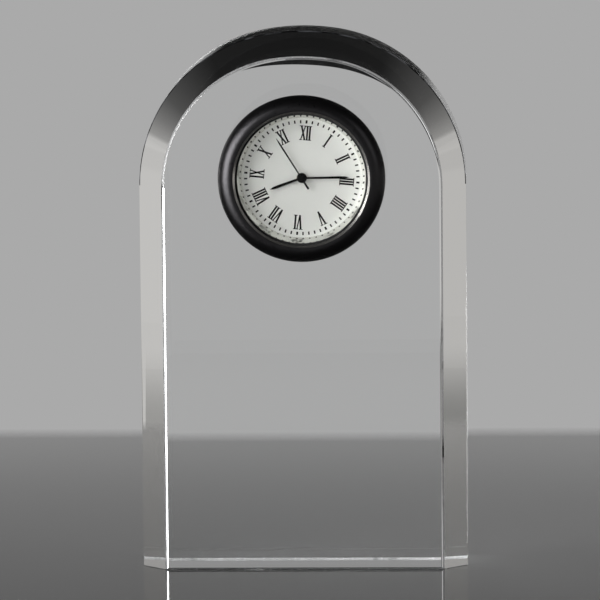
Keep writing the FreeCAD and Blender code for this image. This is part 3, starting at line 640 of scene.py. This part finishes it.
ring_polish = polished(
    "bright_ring_polish", (0.8, 0.8, 0.77), roughness=0.07, metallic=1.0,
    grain=1200.0, spread=0.02,
)
dial_ring = turned("dial_ring_polished", [
    (gasket_window, ring_front),
    (cup_inside, ring_front),
    (cup_inside, dial_front),
    (dial_sight, dial_front),
    (gasket_window, dial_front - ring_cone_height),
], ring_polish)
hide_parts("dial_ring")
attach(dial_ring, "insert")


# Lens and gasket: a flat disc of clear glass in a black rubber ring that seals it to the bezel. The glass
# has a low index here, which stands for a coating that keeps reflections off the black hands.
lens_radius = 0.015
lens_front_proud = 0.0022
lens_back_proud = 0.0014
lens_front = block_front - lens_front_proud
lens_back = block_front - lens_back_proud
lens_seat = 0.0153
lens_edge = 0.0001
coated_index = 1.18
lens_glass = clear_glass("coated_mineral_glass", coated_index, (0.99, 0.995, 0.99))
lens_bm = bmesh.new()
lens_loops = [
    loop_of(lens_bm, arc((0, 0), radius, 0, math.tau, turning_steps)[:-1], depth)
    for radius, depth in (
        (lens_radius - lens_edge, lens_front),
        (lens_radius, lens_front + lens_edge),
        (lens_radius, lens_back - lens_edge),
        (lens_radius - lens_edge, lens_back),
    )
]
for near, far in zip(lens_loops, lens_loops[1:]):
    band(lens_bm, near, far)
lens_bm.faces.new(lens_loops[0])
lens_bm.faces.new(lens_loops[-1])
lens_bm.transform(seat_in_block)
lens = piece("lens_glass", lens_bm, lens_glass)
lens.visible_shadow = False
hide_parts("lens")
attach(lens, "insert")
gasket = turned("lens_gasket_ring", [
    (lens_radius, lens_front),
    (lens_seat, lens_front),
    (lens_seat, ring_front),
    (gasket_window, ring_front),
    (gasket_window, lens_back),
    (lens_radius, lens_back),
], seal_rubber)
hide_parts("lens_gasket")
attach(gasket, "insert")


# Bezel: turned brass with a convex front, plated black nickel and polished. A bright chamfer leads into
# its opening, and its neck holds the case.
bezel_radius = 0.0184
bezel_proud = 0.0026
bezel_front = block_front - bezel_proud
bezel_edge = 0.0005
bezel_neck = 0.0012
neck_radius = 0.0167
cup_radius = 0.0159
opening_radius = 0.0146
opening_chamfer = 0.00035
crest_radius = 0.01505
rim_round = 0.0002
bulge_steps = 24


def arc_through(first, middle, last, steps):
    """Points on the arc through three points, ends included."""
    a, b, c = (Vector(point) for point in (first, middle, last))
    ab = b - a
    ac = c - a
    cross = 2 * (ab.x * ac.y - ab.y * ac.x)
    centre = a + Vector((
        (ac.y * ab.length_squared - ab.y * ac.length_squared) / cross,
        (ab.x * ac.length_squared - ac.x * ab.length_squared) / cross,
    ))
    start = math.atan2(a.y - centre.y, a.x - centre.x)
    end = math.atan2(c.y - centre.y, c.x - centre.x)
    return arc(centre, (a - centre).length, start, end, steps)


bulge = arc_through(
    (crest_radius, bezel_front),
    ((crest_radius + bezel_radius) / 2 + bezel_edge, bezel_front + bezel_edge),
    (bezel_radius, block_front - bezel_edge),
    bulge_steps,
)
black_nickel = polished(
    "black_nickel_plate", (0.036, 0.035, 0.037), roughness=0.32, metallic=1.0,
    grain=2200.0, spread=0.12, bump=0.25,
)
bright_nickel = polished(
    "bright_nickel_chamfer", (0.5, 0.49, 0.47), roughness=0.25, metallic=1.0,
    grain=2500.0, spread=0.05, bump=0.02,
)
bezel = turned("bezel_black_nickel", bulge + [
    (bezel_radius, block_front - rim_round),
    (bezel_radius - rim_round, block_front),
    (neck_radius, block_front),
    (neck_radius, block_front + bezel_neck),
    (cup_radius, block_front + bezel_neck),
    (cup_radius, ring_front),
    (lens_seat, ring_front),
    (lens_seat, lens_front),
    (opening_radius, lens_front),
    (opening_radius, bezel_front + opening_chamfer),
], black_nickel, sharp=25.0)
chamfer_place = len(bezel.data.materials)
bezel.data.materials.append(bright_nickel)
for facet in bezel.data.polygons:
    corners = [bezel.data.vertices[corner].co for corner in facet.vertices]
    radii = [math.hypot(corner.x, corner.z - dial_height) for corner in corners]
    slanting = max(radii) - min(radii) > rim_round
    inside_crest = max(radii) < crest_radius + rim_round / 2
    if slanting and inside_crest and facet.center.y < lens_front:
        facet.material_index = chamfer_place
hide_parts("bezel")
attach(bezel, "insert")


# Table: a plain grey top with a straight back edge, glossy enough to mirror the foot of the block. Its
# last stretch fades out towards the backdrop.
table_reach = 0.34
table_back = 0.19
table_level = -0.0001
table_fade = 0.015
table_grey = (0.15, 0.15, 0.15, 1)
table_roughness = 0.03
table_index = 1.5
table_bm = bmesh.new()
table_corners = [
    (-table_reach, -table_reach),
    (table_reach, -table_reach),
    (table_reach, table_back),
    (-table_reach, table_back),
]
table_bm.faces.new([table_bm.verts.new((x, y, table_level)) for x, y in table_corners])
table_top = bpy.data.materials.new("grey_table_top")
table_top.use_nodes = True
table_nodes = table_top.node_tree.nodes
table_links = table_top.node_tree.links
table_shader = shader_of(table_top)
table_shader.inputs["Base Color"].default_value = table_grey
table_shader.inputs["Roughness"].default_value = table_roughness
table_shader.inputs["IOR"].default_value = table_index
table_place = table_nodes.new("ShaderNodeTexCoord")
table_split = table_nodes.new("ShaderNodeSeparateXYZ")
edge_fade = table_nodes.new("ShaderNodeMapRange")
edge_fade.inputs["From Min"].default_value = table_back - table_fade
edge_fade.inputs["From Max"].default_value = table_back
clear_edge = table_nodes.new("ShaderNodeBsdfTransparent")
table_mix = table_nodes.new("ShaderNodeMixShader")
table_links.new(table_place.outputs["Object"], table_split.inputs["Vector"])
table_links.new(table_split.outputs["Y"], edge_fade.inputs["Value"])
table_links.new(edge_fade.outputs["Result"], table_mix.inputs["Fac"])
table_links.new(table_shader.outputs["BSDF"], table_mix.inputs[1])
table_links.new(clear_edge.outputs["BSDF"], table_mix.inputs[2])
table_links.new(table_mix.outputs["Shader"], table_nodes["Material Output"].inputs["Surface"])
table = piece("table_top", table_bm, table_top)


# Side cards: two dim upright cards at the back edge of the table, left and right of the block. They fade
# out just above the table. They are no lamps but glow with a set grey. Only light that has passed through
# clear glass shows them, so they paint shade on the block's lower side bevels.
card_near = 0.045
card_far = 0.3
card_low = -0.08
card_high = 0.02
card_full = 0.0
card_glow_greys = {-1: (0.22, 0.218, 0.21, 1), 1: (0.32, 0.315, 0.305, 1)}
card_corners = [(card_near, card_low), (card_far, card_low), (card_far, card_high), (card_near, card_high)]
for side, grey in card_glow_greys.items():
    card_bm = bmesh.new()
    card_bm.faces.new([card_bm.verts.new((side * x, table_back, z)) for x, z in card_corners])
    card_glow_material = bpy.data.materials.new("side_card")
    card_glow_material.use_nodes = True
    card_nodes = card_glow_material.node_tree.nodes
    card_links = card_glow_material.node_tree.links
    card_nodes.remove(shader_of(card_glow_material))
    card_place = card_nodes.new("ShaderNodeTexCoord")
    card_split = card_nodes.new("ShaderNodeSeparateXYZ")
    card_fade = card_nodes.new("ShaderNodeMapRange")
    card_fade.interpolation_type = "SMOOTHSTEP"
    card_fade.inputs["From Min"].default_value = card_high
    card_fade.inputs["From Max"].default_value = card_full
    card_rays = card_nodes.new("ShaderNodeLightPath")
    card_seen = card_nodes.new("ShaderNodeMath")
    card_seen.operation = "MULTIPLY"
    card_clear = card_nodes.new("ShaderNodeBsdfTransparent")
    # The card's glow is painted shade for the side bevels seen through the glass.
    card_glow = card_nodes.new("ShaderNodeEmission")
    card_glow.inputs["Color"].default_value = grey
    card_mix = card_nodes.new("ShaderNodeMixShader")
    card_links.new(card_place.outputs["Object"], card_split.inputs["Vector"])
    card_links.new(card_split.outputs["Z"], card_fade.inputs["Value"])
    card_links.new(card_fade.outputs["Result"], card_seen.inputs[0])
    card_links.new(card_rays.outputs["Is Transmission Ray"], card_seen.inputs[1])
    card_links.new(card_seen.outputs["Value"], card_mix.inputs["Fac"])
    card_links.new(card_clear.outputs["BSDF"], card_mix.inputs[1])
    card_links.new(card_glow.outputs["Emission"], card_mix.inputs[2])
    card_links.new(card_mix.outputs["Shader"], card_nodes["Material Output"].inputs["Surface"])
    piece("side_card", card_bm, card_glow_material)


# Studio: an even grey backdrop to the camera. Light that the clock mirrors or bends finds a bright wall up
# to eye level, a dark stretch over it with one bright strip, and sides that are a little warmer.
backdrop_grey = 0.402
left_grey = 0.47
right_grey = 0.56
side_reflected = 0.47
side_warmth = (1.0, 0.98, 0.95, 1)
matt_level = 0.14
side_starts = 0.15
side_full = 0.45
side_blend = 0.3
horizon_blur = 0.05
floor_level = 0.01
ceiling_level = 0.12
lowest = -0.6
highest = 0.4
# Pairs of a direction's height, from -1 straight down to 1 straight up, and the light found there.
levels_by_height = [
    (-0.45, 0.025), (-0.35, 0.17), (-0.3, 0.38), (-0.262, 0.62), (-0.252, 1.0), (-0.02, 1.0),
    (0.02, 0.03), (0.13, 0.03),
    (0.15, 1.35), (0.156, 1.35), (0.1656, 0.95), (0.172, 0.79), (0.1836, 0.6), (0.21, 0.12),
]
world = bpy.data.worlds.new("studio")
scene.world = world
world.use_nodes = True
sky = world.node_tree.nodes
sky_links = world.node_tree.links
rays = sky.new("ShaderNodeLightPath")
direction = sky.new("ShaderNodeTexCoord")
direction_parts = sky.new("ShaderNodeSeparateXYZ")
sky_links.new(direction.outputs["Generated"], direction_parts.inputs["Vector"])
rightward = direction_parts.outputs["X"]
upward = direction_parts.outputs["Z"]


def grey_between(low, high, at_low, at_high, value):
    """A grey that runs from one level to another as a part of the direction grows."""
    spread = sky.new("ShaderNodeMapRange")
    spread.interpolation_type = "SMOOTHSTEP"
    spread.inputs["From Min"].default_value = low
    spread.inputs["From Max"].default_value = high
    spread.inputs["To Min"].default_value = at_low
    spread.inputs["To Max"].default_value = at_high
    sky_links.new(value, spread.inputs["Value"])
    return spread.outputs["Result"]


def mixed(first, second, share):
    """One grey where the share is 0 and the other where it is 1."""
    mix = sky.new("ShaderNodeMix")
    mix.inputs["A"].default_value = 0
    for value, socket in ((first, mix.inputs["A"]), (second, mix.inputs["B"])):
        if isinstance(value, float):
            socket.default_value = value
        else:
            sky_links.new(value, socket)
    sky_links.new(share, mix.inputs["Factor"])
    return mix.outputs["Result"]


lit_place = sky.new("ShaderNodeMapRange")
lit_place.inputs["From Min"].default_value = lowest
lit_place.inputs["From Max"].default_value = highest
sky_links.new(upward, lit_place.inputs["Value"])
lit = sky.new("ShaderNodeValToRGB")
lit_stops = lit.color_ramp.elements
lit_stops[0].position = 0
lit_stops[0].color = (floor_level, floor_level, floor_level, 1)
lit_stops[1].position = 1
lit_stops[1].color = (ceiling_level, ceiling_level, ceiling_level, 1)
for height, level in levels_by_height:
    stop = lit_stops.new((height - lowest) / (highest - lowest))
    stop.color = (level, level, level, 1)
sky_links.new(lit_place.outputs["Result"], lit.inputs["Fac"])
sideways = sky.new("ShaderNodeMath")
sideways.operation = "ABSOLUTE"
sky_links.new(rightward, sideways.inputs[0])
beside = grey_between(side_starts, side_full, 0.0, 1.0, sideways.outputs["Value"])
above = grey_between(-horizon_blur, horizon_blur, 0.0, 1.0, upward)
side_below = grey_between(-side_blend, side_blend, left_grey, right_grey, rightward)
to_side = mixed(backdrop_grey, mixed(side_below, side_reflected, above), beside)
backdrop_seen = sky.new("ShaderNodeMath")
backdrop_seen.operation = "MULTIPLY"
sky_links.new(lit.outputs["Color"], backdrop_seen.inputs[0])
sky_links.new(to_side, backdrop_seen.inputs[1])
bounce = mixed(backdrop_seen.outputs["Value"], matt_level, rays.outputs["Is Diffuse Ray"])
seen = mixed(bounce, backdrop_grey, rays.outputs["Is Camera Ray"])
warmed = sky.new("ShaderNodeMix")
warmed.data_type = "RGBA"
warmed.blend_type = "MULTIPLY"
colours_in = [socket for socket in warmed.inputs if socket.type == "RGBA"]
colours_out = [socket for socket in warmed.outputs if socket.type == "RGBA"]
colours_in[1].default_value = side_warmth
sky_links.new(seen, colours_in[0])
sky_links.new(beside, warmed.inputs["Factor"])
sky_links.new(colours_out[0], sky["Background"].inputs["Color"])


# Lamps: three square softboxes that the camera doesn't see. The window shows only as a reflection, the key
# only lights, and the fill is a dim lamp on the other side that does both.
dial_centre = Vector((0, block_front, dial_height))


def soft_light(name, place, size, watts):
    """A square softbox aimed at the dial."""
    data = bpy.data.lights.new(name, "AREA")
    data.shape = "SQUARE"
    data.size = size
    data.energy = watts
    lamp = bpy.data.objects.new(name, data)
    lamp.location = place
    lamp.rotation_euler = (dial_centre - Vector(place)).to_track_quat("-Z", "Y").to_euler()
    lamp.visible_camera = False
    scene.collection.objects.link(lamp)
    return lamp


window_left = soft_light("window_left", (-0.74, -0.66, 0.14), size=0.7, watts=17.0)
window_left.visible_transmission = False
window_left.visible_diffuse = False
key_left = soft_light("key_left", (-0.6, -0.55, 0.63), size=0.45, watts=2.5)
key_left.visible_glossy = False
key_left.visible_transmission = False
soft_light("fill_right", (0.7, -0.7, 0.4), size=0.5, watts=0.6)


# Camera: a long lens a little above and to the right of the block's middle, not quite level. It stands far
# off, so that the block shows almost without perspective.
aim = Vector((-0.00058, block_front, 0.06011))
camera_distance = 1.356
camera_elevation = math.radians(7.84)
camera_azimuth = math.radians(2.04)
camera_roll = math.radians(-0.5)
film_width = 36
lens_length = 370.0
back_to_camera = Vector((
    math.sin(camera_azimuth) * math.cos(camera_elevation),
    -math.cos(camera_azimuth) * math.cos(camera_elevation),
    math.sin(camera_elevation),
))
camera_data = bpy.data.cameras.new("camera")
camera_data.sensor_width = film_width
camera_data.lens = lens_length
camera = bpy.data.objects.new("camera", camera_data)
camera.location = aim + back_to_camera * camera_distance
level_view = (-back_to_camera).to_track_quat("-Z", "Y").to_matrix()
camera.rotation_euler = (level_view @ Matrix.Rotation(camera_roll, 3, "Z")).to_euler()
scene.collection.objects.link(camera)
scene.camera = camera
scene.view_settings.view_transform = "Standard"
